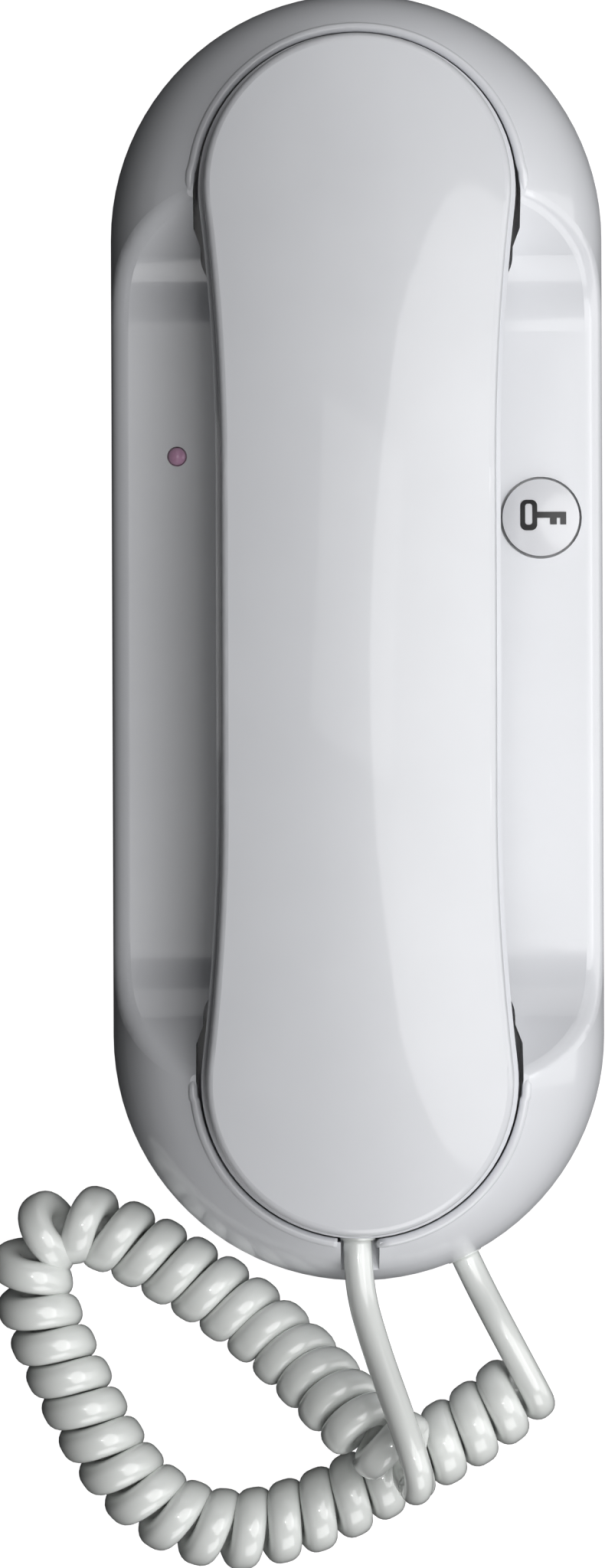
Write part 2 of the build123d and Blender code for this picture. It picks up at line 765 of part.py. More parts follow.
# The inner shell: two cups, the arched grip, lip, grilles and screw bosses
with BuildPart() as handset_inner_shell:
    add(prism(ledge, cup_bottom - overrun, handset_top))
    add(underside(0, handset_top), mode=Mode.INTERSECT)
    lower_edges = handset_inner_shell.edges().filter_by_position(
        Axis.Z, cup_bottom - overrun, grip_height + overrun
    )
    rim_edges = [e for e in lower_edges if abs(e.center().X) > face_waist / 2 or
                 abs(e.center().Y) > outline_centre + face_end_radius / 2]
    fillet(rim_edges, radius=cup_fillet)
    add(parting_disc, mode=Mode.INTERSECT)
    with BuildPart(mode=Mode.PRIVATE) as inner_cavity:
        add(prism(ledge - shell_wall, cup_bottom, handset_top))
        add(underside(shell_wall, handset_top), mode=Mode.INTERSECT)
        add(tall_disc, mode=Mode.INTERSECT)
    add(inner_cavity.part, mode=Mode.SUBTRACT)
    with BuildPart(mode=Mode.PRIVATE) as lip:
        add(prism(-shell_wall - running_gap, cup_bottom, handset_top))
        add(prism(-shell_wall - running_gap - lip_wall, cup_bottom, handset_top), mode=Mode.SUBTRACT)
        add(bowed_ring(parting_radius - lip_root_depth, parting_radius + lip_depth, False), mode=Mode.INTERSECT)
    add(lip.part)
    with BuildPart(mode=Mode.PRIVATE) as lip_root:
        add(prism(ledge - shell_wall / 2, cup_bottom, handset_top))
        add(prism(-shell_wall - running_gap - lip_wall, cup_bottom, handset_top), mode=Mode.SUBTRACT)
        add(bowed_ring(parting_radius - lip_root_depth, parting_radius, False), mode=Mode.INTERSECT)
    add(lip_root.part)
    with Locations((0, shell_screw_row, grip_floor), (0, -shell_screw_row, grip_floor)):
        Cylinder(shell_boss_radius, shell_boss_height, align=(Align.CENTER, Align.CENTER, Align.MIN))
    for end in (-1, 1):
        with Locations((0, end * shell_screw_row, grip_height)):
            Cylinder(
                screw_head_radius + slide_gap, shell_screw_sink,
                align=(Align.CENTER, Align.CENTER, Align.MIN), mode=Mode.SUBTRACT,
            )
            Cylinder(
                screw_radius + running_gap, shell_boss_height + 2 * shell_wall,
                align=(Align.CENTER, Align.CENTER, Align.MIN), mode=Mode.SUBTRACT,
            )
    with BuildSketch(Plane.XY.offset(cup_floor)):
        with Locations((0, ear_row)):
            Circle(ear_hole_radius)
            with PolarLocations(ear_hole_circle, ear_hole_count):
                Circle(ear_hole_radius)
        with Locations((0, mouth_row)):
            with GridLocations(mouth_slot_pitch, mouth_slot_pitch, 1, mouth_slot_count):
                SlotOverall(mouth_slot_length, mouth_slot_width)
    extrude(amount=-(shell_wall + overrun), mode=Mode.SUBTRACT)
    with Locations((lead_offset, -face_reach, lead_height)):
        Cylinder(gland_radius + slide_gap, 4 * shell_wall, rotation=(90, 0, 0), mode=Mode.SUBTRACT)

with BuildPart() as shell_screws:
    for end in (-1, 1):
        add(
            pan_screw((0, end * shell_screw_row, grip_height + shell_screw_sink), shell_screw_length, 180)
        )

# Ear capsule on its ring
capsule_bottom = cup_floor + gasket_height
with BuildPart() as earpiece:
    add(upright(earpiece_front_radius, earpiece_height, (0, ear_row, capsule_bottom)))
    add(
        upright(
            earpiece_radius, earpiece_height - earpiece_step,
            (0, ear_row, capsule_bottom + earpiece_step),
        )
    )

with BuildPart() as earpiece_gasket:
    add(upright(earpiece_front_radius, gasket_height, (0, ear_row, cup_floor)))
    with Locations((0, ear_row, capsule_bottom)):
        Hole(earpiece_front_radius - gasket_wall, depth=gasket_height)

# Microphone in its boot
boot_radius = microphone_radius + slide_gap + boot_wall
with BuildPart() as microphone:
    add(upright(microphone_radius, microphone_height, (0, mouth_row, cup_floor + microphone_lift)))

with BuildPart() as microphone_boot:
    add(upright(boot_radius, boot_height, (0, mouth_row, cup_floor)))
    with Locations((0, mouth_row, cup_floor + boot_height)):
        Hole(microphone_radius + slide_gap, depth=boot_height)

with BuildPart() as ballast_weight:
    add(block((weight_width, weight_length, weight_height), (0, 0, grip_floor)))

# Gland in the handset's lower wall
handset_wall_radius = face_end_radius + ledge - shell_wall
handset_wall_inner = outline_centre + sqrt(
    handset_wall_radius**2 - (gland_flange_radius - lead_offset) ** 2
)
handset_gland_face = face_reach + ledge + gland_proud
with BuildPart() as handset_gland:
    with BuildSketch(Plane.XZ.offset(handset_wall_inner - running_gap)):
        with Locations((lead_offset, lead_height)):
            Circle(gland_flange_radius)
    extrude(amount=-gland_flange)
    with BuildSketch(Plane.XZ.offset(handset_wall_inner - running_gap)):
        with Locations((lead_offset, lead_height)):
            Circle(gland_radius)
    extrude(amount=handset_gland_face - handset_wall_inner + running_gap)


# The coil's axis as points, directions and lengths along a clamped quadratic spline
def spline_points(points):
    """Points and directions on the clamped quadratic spline of a row of control points."""
    row = [(points[0], (points[1] - points[0]).normalized())]
    last = len(points) - 2
    for i in range(1, last + 1):
        start = points[0] if i == 1 else (points[i - 1] + points[i]) * 0.5
        knee = points[i]
        end = points[-1] if i == last else (points[i] + points[i + 1]) * 0.5
        for k in range(1, axis_steps + 1):
            t = k / axis_steps
            place = start * (1 - t) ** 2 + knee * (2 * t * (1 - t)) + end * t * t
            row.append((place, ((knee - start) * (1 - t) + (end - knee) * t).normalized()))
    return row


coil_axis = spline_points([Vector(*p) for p in coil_route])
coil_reach = [0]
for (here, _), (there, _) in zip(coil_axis, coil_axis[1:]):
    coil_reach.append(coil_reach[-1] + (there - here).length)
coil_bends = [
    (coil_axis[i + 1][1] - coil_axis[i][1]).length / (coil_reach[i + 1] - coil_reach[i])
    for i in range(len(coil_axis) - 1)
]
# The curls open where the axis bends, so that they keep their gap on the inside of the bend
coil_angles = [0]
for i in range(len(coil_bends)):
    middle = (coil_reach[i] + coil_reach[i + 1]) / 2
    first_near = bisect_left(coil_reach, max(middle - curl_pitch / 2, 0))
    last_near = bisect_right(coil_reach, min(middle + curl_pitch / 2, coil_reach[-1])) - 1
    bend = max(coil_bends[min(first_near, i):max(last_near, i + 1)])
    step = (coil_reach[i + 1] - coil_reach[i]) * 2 * pi * (1 - curl_radius * bend) / curl_pitch
    coil_angles.append(coil_angles[-1] + step)
whole_turns = floor((coil_angles[-1] + radians(curl_start_angle)) / (2 * pi))
coil_total = whole_turns * 2 * pi - radians(curl_start_angle)
coil_angles = [a * coil_total / coil_angles[-1] for a in coil_angles]


def curl_point(angle):
    """A point on the wire's centre line after an angle of winding."""
    i = min(max(bisect_right(coil_angles, angle) - 1, 0), len(coil_angles) - 2)
    t = (angle - coil_angles[i]) / (coil_angles[i + 1] - coil_angles[i])
    centre = coil_axis[i][0] * (1 - t) + coil_axis[i + 1][0] * t
    along = (coil_axis[i][1] * (1 - t) + coil_axis[i + 1][1] * t).normalized()
    side = Vector(0, 0, 1).cross(along).normalized()
    turn = angle + radians(curl_start_angle)
    return centre + along.cross(side) * (curl_radius * cos(turn)) + side * (curl_radius * sin(turn))


def curl_direction(angle):
    """The wire's direction after an angle of winding."""
    step = radians(1)
    return (curl_point(min(angle + step, coil_total)) - curl_point(max(angle - step, 0))).normalized()


def biarc_middle(start, start_direction, end, end_direction):
    """The point where two tangent arcs between two places meet."""
    chord = end - start
    square = 2 * (1 - start_direction.dot(end_direction))
    linear = 2 * chord.dot(start_direction + end_direction)
    reach = (sqrt(linear**2 + 4 * square * chord.dot(chord)) - linear) / (2 * square)
    return ((start + start_direction * reach) + (end - end_direction * reach)) * 0.5


curl_count = ceil(coil_total / radians(curl_step))
curl_stations = [
    (curl_point(coil_total * k / curl_count), curl_direction(coil_total * k / curl_count))
    for k in range(curl_count + 1)
]
coil_start = curl_stations[0][0] - curl_stations[0][1] * wire
coil_end = curl_stations[-1][0] + curl_stations[-1][1] * wire
with BuildPart() as curly_cord:
    with BuildLine() as curl_path:
        Line(coil_start, curl_stations[0][0])
        for (start, start_direction), (end, end_direction) in zip(curl_stations, curl_stations[1:]):
            meeting = biarc_middle(start, start_direction, end, end_direction)
            half = TangentArc(start, meeting, tangent=start_direction)
            TangentArc(meeting, end, tangent=half % 1)
        Line(curl_stations[-1][0], coil_end)
    with BuildSketch(Plane(origin=coil_start, x_dir=coil_axis[0][1], z_dir=curl_stations[0][1])) as curl_section:
        RegularPolygon(wire * curl_side_reach / cos(pi / curl_sides), curl_sides)
    sweep(path=curl_path.wires()[0], clean=False)

curl_wire = curl_path.wires()[0]
travelled = curl_wire.length
gap_count = ceil(travelled / gap_spacing)
gap_points = [tuple(curl_wire.position_at(k / gap_count)) for k in range(gap_count + 1)]
skip = ceil(pi * curl_radius / gap_spacing)
least_gap = min(
    dist(gap_points[i], far) for i in range(gap_count) for far in gap_points[i + skip:]
) - wire
print("curls", round(coil_total / (2 * pi), 2), "least gap", round(least_gap, 2),
      "wire length", round(travelled, 1))
print("curly cord volume", round(curly_cord.part.volume / (curl_section.sketch.area * travelled), 4),
      "of section by length")


def lead(name, points, section_radius):
    """A lead of straight runs joined by tangent arcs."""
    radii = []
    for before, here, after in zip(points, points[1:], points[2:]):
        shorter = min((here - before).length, (after - here).length)
        half_turn = radians((here - before).get_angle(after - here)) / 2
        radii.append(run_share * shorter / tan(half_turn))
    with BuildPart() as tube:
        with BuildLine() as route:
            FilletPolyline(*points, radius=radii)
        with BuildSketch(Plane(origin=points[0], z_dir=points[1] - points[0])) as section:
            Circle(section_radius)
        sweep()
    length = route.wires()[0].length
    print(name, "length", round(length, 1), "bend radii", [round(r, 1) for r in radii],
          "volume", round(tube.part.volume / (section.sketch.area * length), 4))
    return tube.part


handset_exit = Vector(lead_offset, -handset_gland_face, lead_height)
handset_exit_end = Vector(lead_offset, -(notch_reach + handset_lead_start), lead_height)
base_exit = gland_axis_point + gland_normal * gland_face
with BuildPart() as handset_lead:
    add(
        lead(
            "handset_lead",
            [handset_exit, handset_exit_end] + [Vector(*p) for p in handset_lead_route]
            + [coil_start - curl_stations[0][1] * handset_lead_run, coil_start],
            wire / 2,
        )
    )

with BuildPart() as base_lead:
    add(
        lead(
            "base_lead",
            [base_exit, base_exit + gland_normal * base_lead_run,
             coil_end + curl_stations[-1][1] * base_lead_run, coil_end],
            wire / 2,
        )
    )

pieces = {
    "base_cover": base_cover, "back_plate": back_plate, "cover_screw": cover_screw,
    "circuit_board": circuit_board, "board_screws": board_screws, "terminal_block": terminal_block,
    "terminal_screws": terminal_screws, "call_sounder": call_sounder, "hook_switch": hook_switch,
    "hook_plunger": hook_plunger, "hook_spring": hook_spring, "door_button": door_button,
    "button_switch": button_switch, "button_spring": button_spring, "status_led": status_led,
    "led_spacer": led_spacer, "base_gland": base_gland, "base_lead": base_lead,
    "curly_cord": curly_cord, "handset_lead": handset_lead,
    "handset_outer_shell": handset_outer_shell, "handset_inner_shell": handset_inner_shell,
    "shell_screws": shell_screws, "earpiece": earpiece, "earpiece_gasket": earpiece_gasket,
    "microphone": microphone, "microphone_boot": microphone_boot, "ballast_weight": ballast_weight,
    "handset_gland": handset_gland,
}
for name, piece in pieces.items():
    piece.part.label = name
    export_step(piece.part, f"parts/{name}.step")
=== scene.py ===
import bpy
import json
import math
from bisect import bisect_left, bisect_right

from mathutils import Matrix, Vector
from mathutils.bvhtree import BVHTree


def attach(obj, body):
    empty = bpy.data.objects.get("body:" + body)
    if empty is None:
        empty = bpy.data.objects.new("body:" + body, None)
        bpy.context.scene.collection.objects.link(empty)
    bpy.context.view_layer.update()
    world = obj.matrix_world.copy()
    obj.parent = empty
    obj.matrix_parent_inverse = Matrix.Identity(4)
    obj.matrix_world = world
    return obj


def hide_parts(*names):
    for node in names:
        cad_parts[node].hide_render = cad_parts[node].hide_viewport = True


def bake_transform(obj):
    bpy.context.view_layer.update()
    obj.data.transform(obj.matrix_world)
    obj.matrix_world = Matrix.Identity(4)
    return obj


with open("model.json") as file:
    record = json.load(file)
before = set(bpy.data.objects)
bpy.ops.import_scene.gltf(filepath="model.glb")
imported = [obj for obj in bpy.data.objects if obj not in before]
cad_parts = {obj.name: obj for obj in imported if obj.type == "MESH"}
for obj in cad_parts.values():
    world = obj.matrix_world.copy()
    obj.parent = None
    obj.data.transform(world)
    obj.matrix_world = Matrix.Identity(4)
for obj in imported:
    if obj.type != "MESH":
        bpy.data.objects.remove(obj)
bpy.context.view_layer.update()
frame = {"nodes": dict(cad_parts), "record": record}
scene = bpy.context.scene
nodes = frame["nodes"]

# Camera: high above the unit, looking straight down. The scale holds at the level named.
CAMERA_HEIGHT = 1.108
LEVEL = 0.008
PIXELS_PER_METRE = 7763.0
IMAGE = (790, 2048)
ORIGIN_PIXEL = (467, 834)
CAMERA_ROLL = math.radians(-0.2)
SENSOR = 36.0
camera_data = bpy.data.cameras.new("camera")
camera_data.sensor_fit = "HORIZONTAL"
camera_data.sensor_width = SENSOR
camera_data.lens = SENSOR * PIXELS_PER_METRE * (CAMERA_HEIGHT - LEVEL) / IMAGE[0]
camera_data.clip_start = 0.05
camera_data.clip_end = 20.0
camera_data.dof.use_dof = False
camera = bpy.data.objects.new("camera", camera_data)
scene.collection.objects.link(camera)
camera.location = (
    (IMAGE[0] / 2 - ORIGIN_PIXEL[0]) / PIXELS_PER_METRE,
    (ORIGIN_PIXEL[1] - IMAGE[1] / 2) / PIXELS_PER_METRE,
    CAMERA_HEIGHT,
)
camera.rotation_euler = (0.0, 0.0, CAMERA_ROLL)
scene.camera = camera
scene.view_settings.view_transform = "Standard"

# Sizes of the cord and the button, in metres; the routes are in millimetres, as in the solids.
WIRE = 0.0048
CURL_RADIUS = 0.0042
CURL_PITCH = 0.00535
BEND_SHARE = 0.3
TURNS = 32.75
TURN_WIDTH = 0.0028
TURN_HEIGHT = 0.0026
TURN_SQUARENESS = 2.5
START_ANGLE = math.radians(90)
STEPS_PER_TURN = 36
FLATTENING_TURNS = 0.6
TUBE_SIDES = 24
END_STEPS = 4
AXIS_STEPS = 24
LEAD_STEPS = 16
BASE_STEPS = 12
SAME_POINT = 1e-7
COIL_ROUTE = [
    (9.4, -136.4, 21.7), (5.4, -134.9, 21.5), (1, -131.9, 20), (-3.9, -127.3, 15.8),
    (-9.9, -121.4, 10.8), (-17.4, -114.9, 7.7), (-25.4, -109.2, 7.1), (-33.1, -104.6, 7.1),
    (-40.6, -100.4, 7.1), (-47.2, -97.9, 7.1), (-53.2, -99.6, 7.1), (-55.6, -105.5, 7.1),
    (-54.2, -112.4, 7.1), (-51.4, -119, 7.1), (-48.1, -125.8, 7.1), (-44.6, -132.9, 7.1),
    (-40, -140.2, 7.1), (-33.9, -146.2, 7.1), (-26.4, -149.6, 7.1), (-18.7, -150.1, 7.1),
    (-10.7, -148.1, 7.1), (-2.7, -145, 7.1), (4.9, -140.5, 7.1), (12.6, -136.4, 7.1),
    (19.5, -132.2, 7.1), (24.3, -128.6, 7.1), (28.6, -124.9, 7.1),
]
LEAD_ROUTE = [
    (-0.4, -100.0, 24.3), (-0.4, -107.4, 24.3), (2.4, -117.5, 27.2), (6.3, -128.2, 32.5),
    (8.9, -135.9, 34.6), (9.6, -139.2, 33.2),
]
GLAND_ANGLE = math.radians(-64.6)
GLAND_NORMAL = Vector((math.cos(GLAND_ANGLE), math.sin(GLAND_ANGLE), 0))
END_CENTRE = Vector((0, -0.0665, 0.009))
GLAND_REACH = 0.0414
BASE_EXIT = END_CENTRE + GLAND_NORMAL * GLAND_REACH
BASE_RUN = 0.0055
LEAD_RUN = 0.0037
BUTTON = (0.0306, 0.0198)
BUTTON_TOP = 0.0194
BUTTON_RADIUS = 0.0064
BUTTON_RISE = 0.001


def metres(points):
    return [Vector(p) / 1000 for p in points]


def mesh_object(name, verts, faces):
    """A linked object with a mesh of these vertices and faces."""
    mesh = bpy.data.meshes.new(name)
    mesh.from_pydata(verts, [], faces)
    mesh.update()
    obj = bpy.data.objects.new(name, mesh)
    scene.collection.objects.link(obj)
    return obj


# Cords
def nurbs_line(points, steps):
    """The points that a quadratic NURBS spline gives, with its ends on the first and last point."""
    curve = bpy.data.curves.new("route", "CURVE")
    curve.dimensions = "3D"
    spline = curve.splines.new("NURBS")
    spline.points.add(len(points) - 1)
    for place, point in zip(spline.points, points):
        place.co = (*point, 1)
    spline.order_u = 3
    spline.use_endpoint_u = True
    spline.resolution_u = steps
    holder = bpy.data.objects.new("route", curve)
    scene.collection.objects.link(holder)
    bpy.context.view_layer.update()
    mesh = bpy.data.meshes.new_from_object(holder)
    line = [v.co.copy() for v in mesh.vertices]
    bpy.data.objects.remove(holder)
    bpy.data.curves.remove(curve)
    bpy.data.meshes.remove(mesh)
    return line


def directions(line):
    """The way that a line runs at each of its points."""
    row = []
    for i in range(len(line)):
        row.append((line[min(i + 1, len(line) - 1)] - line[max(i - 1, 0)]).normalized())
    return row


def tube(name, line, sections, sides, hints=None):
    """A closed tube that follows a line.

    Each section is (half width along the hint, half width across it, squareness); a squareness of 2
    is round. A hint is the way that a section's first half width points; without one, the frame is
    carried along from the section before.
    """
    along = directions(line)
    side = along[0].orthogonal().normalized()
    verts, faces = [], []
    for i, (point, axis) in enumerate(zip(line, along)):
        if hints and hints[i]:
            side = hints[i]
        side = (side - axis * side.dot(axis)).normalized()
        other = axis.cross(side)
        wide, high, power = sections[i]
        for k in range(sides):
            turn = 2 * math.pi * k / sides
            c, n = math.cos(turn), math.sin(turn)
            verts.append(
                point
                + side * (math.copysign(abs(c) ** (2 / power), c) * wide)
                + other * (math.copysign(abs(n) ** (2 / power), n) * high)
            )
    for i in range(len(line) - 1):
        for k in range(sides):
            a = i * sides + k
            b = i * sides + (k + 1) % sides
            faces.append((a, b, b + sides, a + sides))
    faces.append(tuple(reversed(range(sides))))
    last = (len(line) - 1) * sides
    faces.append(tuple(last + k for k in range(sides)))
    obj = mesh_object(name, verts, faces)
    obj.data.polygons.foreach_set("use_smooth", [len(f) == 4 for f in faces])
    obj.data.update()
    return obj


axis_line = nurbs_line(metres(COIL_ROUTE), AXIS_STEPS)
axis_line = [p for i, p in enumerate(axis_line) if i == 0 or (p - axis_line[i - 1]).length > SAME_POINT]
axis_along = directions(axis_line)
reach = [0.0]
for here, there in zip(axis_line, axis_line[1:]):
    reach.append(reach[-1] + (there - here).length)
bends = [
    (axis_along[i + 1] - axis_along[i]).length / (reach[i + 1] - reach[i])
    for i in range(len(axis_line) - 1)
]
# The angle turned so far at each point of the axis. The turns lie wider apart where the axis bends.
angles = [0.0]
for i in range(len(bends)):
    middle = (reach[i] + reach[i + 1]) / 2
    low = min(bisect_left(reach, max(middle - CURL_PITCH / 2, 0)), i)
    high = max(bisect_right(reach, min(middle + CURL_PITCH / 2, reach[-1])) - 1, i + 1)
    bend = sum(bends[low:high]) / (high - low)
    crowd = 1 - BEND_SHARE * CURL_RADIUS * bend
    angles.append(angles[-1] + (reach[i + 1] - reach[i]) * 2 * math.pi * crowd / CURL_PITCH)
scale = TURNS * 2 * math.pi / angles[-1]
angles = [a * scale for a in angles]


def curl_point(angle):
    """The middle of the wire where the coil has turned by an angle."""
    i = min(max(bisect_right(angles, angle) - 1, 0), len(angles) - 2)
    t = (angle - angles[i]) / (angles[i + 1] - angles[i])
    centre = axis_line[i].lerp(axis_line[i + 1], t)
    along = axis_along[i].lerp(axis_along[i + 1], t).normalized()
    side = Vector((0, 0, 1)).cross(along).normalized()
    turn = angle + START_ANGLE
    return centre + along.cross(side) * (CURL_RADIUS * math.cos(turn)) + side * (
        CURL_RADIUS * math.sin(turn)
    )


count = int(TURNS * STEPS_PER_TURN)
coil_line = [curl_point(angles[-1] * k / count) for k in range(count + 1)]
start_way = (coil_line[1] - coil_line[0]).normalized()
end_way = (coil_line[-1] - coil_line[-2]).normalized()
coil_start = coil_line[0] - start_way * WIRE
coil_end = coil_line[-1] + end_way * WIRE
base_line = nurbs_line(
    [coil_end, coil_end + end_way * BASE_RUN, BASE_EXIT + GLAND_NORMAL * BASE_RUN, BASE_EXIT],
    BASE_STEPS,
)
whole_line = [coil_start.lerp(coil_line[0], k / END_STEPS) for k in range(END_STEPS)]
whole_line += coil_line
whole_line += [coil_line[-1].lerp(coil_end, k / END_STEPS) for k in range(1, END_STEPS)]
whole_line += base_line
lead_line = nurbs_line(
    metres(LEAD_ROUTE) + [coil_start - start_way * LEAD_RUN, coil_start], LEAD_STEPS
)


def smoothstep(t):
    t = min(max(t, 0), 1)
    return t * t * (3 - 2 * t)


ROUND = (WIRE / 2, WIRE / 2, 2)
FLAT = (TURN_WIDTH, TURN_HEIGHT, TURN_SQUARENESS)
sections, hints = [], []
for i in range(len(whole_line)):
    k = i - END_STEPS
    inside = smoothstep(min(k, count - k) / (STEPS_PER_TURN * FLATTENING_TURNS))
    sections.append(tuple(a + (b - a) * inside for a, b in zip(ROUND, FLAT)))
    if k > count:
        hints.append(None)
    else:
        angle = angles[-1] * max(k, 0) / count
        j = min(max(bisect_right(angles, angle) - 1, 0), len(angles) - 2)
        hints.append(axis_along[j].copy())
curly = tube("cord_curls", whole_line, sections, TUBE_SIDES, hints)
lead = tube("cord_handset_lead", lead_line, [ROUND] * len(lead_line), TUBE_SIDES)


# Materials
def moulded_group():
    """Shared look of moulded surfaces: faint unevenness of tone, a fine grain and its normal."""
    tree = bpy.data.node_groups.new("moulded_surface", "ShaderNodeTree")
    for label, kind in (("Tone", "Float"), ("Grain", "Float"), ("Normal", "Vector")):
        tree.interface.new_socket(label, in_out="OUTPUT", socket_type="NodeSocket" + kind)
    new = tree.nodes.new

    def noise(scale, detail):
        node = new("ShaderNodeTexNoise")
        node.inputs["Scale"].default_value = scale
        node.inputs["Detail"].default_value = detail
        return node

    def bump(strength, distance):
        node = new("ShaderNodeBump")
        node.inputs["Strength"].default_value = strength
        node.inputs["Distance"].default_value = distance
        return node

    place = new("ShaderNodeTexCoord")
    broad = noise(35, 3)
    fine = noise(2600, 2)
    wave = noise(60, 1)
    bump_fine = bump(0.05, 0.00004)
    bump_wave = bump(0.12, 0.0001)
    out = new("NodeGroupOutput")
    link = tree.links.new
    for texture in (broad, fine, wave):
        link(place.outputs["Object"], texture.inputs["Vector"])
    link(wave.outputs["Fac"], bump_wave.inputs["Height"])
    link(fine.outputs["Fac"], bump_fine.inputs["Height"])
    link(bump_wave.outputs["Normal"], bump_fine.inputs["Normal"])
    link(broad.outputs["Fac"], out.inputs["Tone"])
    link(fine.outputs["Fac"], out.inputs["Grain"])
    link(bump_fine.outputs["Normal"], out.inputs["Normal"])
    return tree


MOULDED = moulded_group()
TONE_SPAN = (0.3, 0.7)
ROUGHNESS_SPREAD = 0.1
COAT_ROUGHNESS = 0.05
COLOUR_A, COLOUR_B, COLOUR_OUT = 6, 7, 2


def material(name, deep, pale, rough, metallic=0.0, coat=0.0):
    """A procedural material: two near colours mixed by the shared tone, roughness by its grain."""
    made = bpy.data.materials.new(name)
    made.use_nodes = True
    tree = made.node_tree
    shader = tree.nodes["Principled BSDF"]
    surface = tree.nodes.new("ShaderNodeGroup")
    surface.node_tree = MOULDED
    ramp = tree.nodes.new("ShaderNodeMix")
    ramp.data_type = "RGBA"
    ramp.inputs[COLOUR_A].default_value = (*deep, 1)
    ramp.inputs[COLOUR_B].default_value = (*pale, 1)
    spread = tree.nodes.new("ShaderNodeMapRange")
    spread.inputs["From Min"].default_value, spread.inputs["From Max"].default_value = TONE_SPAN
    roughness = tree.nodes.new("ShaderNodeMapRange")
    roughness.inputs["To Min"].default_value = rough * (1 - ROUGHNESS_SPREAD)
    roughness.inputs["To Max"].default_value = rough * (1 + ROUGHNESS_SPREAD)
    link = tree.links.new
    link(surface.outputs["Tone"], spread.inputs["Value"])
    link(spread.outputs["Result"], ramp.inputs["Factor"])
    link(ramp.outputs[COLOUR_OUT], shader.inputs["Base Color"])
    link(surface.outputs["Grain"], roughness.inputs["Value"])
    link(roughness.outputs["Result"], shader.inputs["Roughness"])
    link(surface.outputs["Normal"], shader.inputs["Normal"])
    shader.inputs["Metallic"].default_value = metallic
    shader.inputs["Coat Weight"].default_value = coat
    shader.inputs["Coat Roughness"].default_value = COAT_ROUGHNESS
    return made


white = material("white_abs", (0.72, 0.73, 0.76), (0.76, 0.77, 0.80), 0.3, coat=0.6)
button_white = material("button_white", (0.74, 0.745, 0.77), (0.77, 0.775, 0.80), 0.18)
inner_white = material("inner_white", (0.70, 0.70, 0.70), (0.74, 0.74, 0.74), 0.45)
cord_white = material("cord_sheath", (0.74, 0.76, 0.74), (0.79, 0.81, 0.79), 0.3, coat=1.0)
dark = material("dark_plastic", (0.02, 0.02, 0.02), (0.035, 0.035, 0.035), 0.4)
board = material("board_green", (0.01, 0.10, 0.04), (0.015, 0.13, 0.05), 0.3)
terminal = material("terminal_green", (0.03, 0.2, 0.07), (0.04, 0.24, 0.09), 0.4)
steel = material("zinc_steel", (0.5, 0.5, 0.52), (0.6, 0.6, 0.62), 0.3, metallic=1.0)
foam = material("foam_black", (0.01, 0.01, 0.01), (0.03, 0.03, 0.03), 0.9)
lens = material("led_resin", (0.86, 0.46, 0.70), (0.92, 0.53, 0.77), 0.12, coat=0.6)
ink = material("key_ink", (0.004, 0.004, 0.005), (0.008, 0.008, 0.009), 0.35)
FINISHES = {
    "white_plastic": white, "plain_plastic": inner_white, "dark_plastic": dark, "terminal": terminal,
    "board": board, "steel": steel, "spring_steel": steel, "lens": lens, "cord": cord_white,
    "foam": foam, "rubber": foam,
}
SHARP_EDGE = math.radians(32)
slots = {s["node"]: s["material_slot"] for s in frame["record"]["subparts"]}


def smooth_group():
    """Smooth shading that keeps the edges sharper than SHARP_EDGE."""
    tree = bpy.data.node_groups.new("smooth_by_angle", "GeometryNodeTree")
    tree.interface.new_socket("Geometry", in_out="INPUT", socket_type="NodeSocketGeometry")
    tree.interface.new_socket("Geometry", in_out="OUTPUT", socket_type="NodeSocketGeometry")
    new = tree.nodes.new
    start = new("NodeGroupInput")
    end = new("NodeGroupOutput")
    faces = new("GeometryNodeSetShadeSmooth")
    faces.domain = "FACE"
    edges = new("GeometryNodeSetShadeSmooth")
    edges.domain = "EDGE"
    edges.inputs["Shade Smooth"].default_value = False
    angle = new("GeometryNodeInputMeshEdgeAngle")
    compare = new("FunctionNodeCompare")
    compare.operation = "GREATER_THAN"
    compare.inputs[1].default_value = SHARP_EDGE
    link = tree.links.new
    link(start.outputs[0], faces.inputs["Geometry"])
    link(faces.outputs[0], edges.inputs["Geometry"])
    link(angle.outputs["Unsigned Angle"], compare.inputs[0])
    link(compare.outputs["Result"], edges.inputs["Selection"])
    link(edges.outputs[0], end.inputs[0])
    return tree


SMOOTH = smooth_group()
for name, obj in nodes.items():
    finish = button_white if name == "door_button" else FINISHES[slots[name]]
    if not obj.material_slots:
        continue
    for slot in obj.material_slots:
        slot.link = "OBJECT"
        slot.material = finish
    modifier = obj.modifiers.new("smooth", "NODES")
    modifier.node_group = SMOOTH

for obj in (curly, lead):
    obj.data.materials.append(cord_white)

# The key printed on the button, in millimetres from the button's middle. The ring and its hole are
# rounded rectangles (middle, half sizes, corner radius); a bar goes from one corner to the other and
# is divided into columns and rows, so that it follows the dome.
DOME_RADIUS = (BUTTON_RADIUS**2 + BUTTON_RISE**2) / (2 * BUTTON_RISE)
INK_LIFT = 0.0001
KEY_RING = (-2.05, 0.38, 1.4, 2.55, 1.0)
KEY_HOLE = (-2.05, 0.52, 0.6, 1.75, 0.45)
KEY_BARS = [(-0.75, -0.1, 4.2, 0.92, 12, 3), (1.5, -1.2, 2.62, -0.1, 3, 3), (3.2, -1.2, 4.2, -0.1, 3, 3)]
CORNER_STEPS = 8
SIDE_STEPS = 7


def dome_height(x, y):
    """The height of the button's dome, with the ink on it."""
    return BUTTON_TOP - DOME_RADIUS + math.sqrt(DOME_RADIUS**2 - x * x - y * y) + INK_LIFT


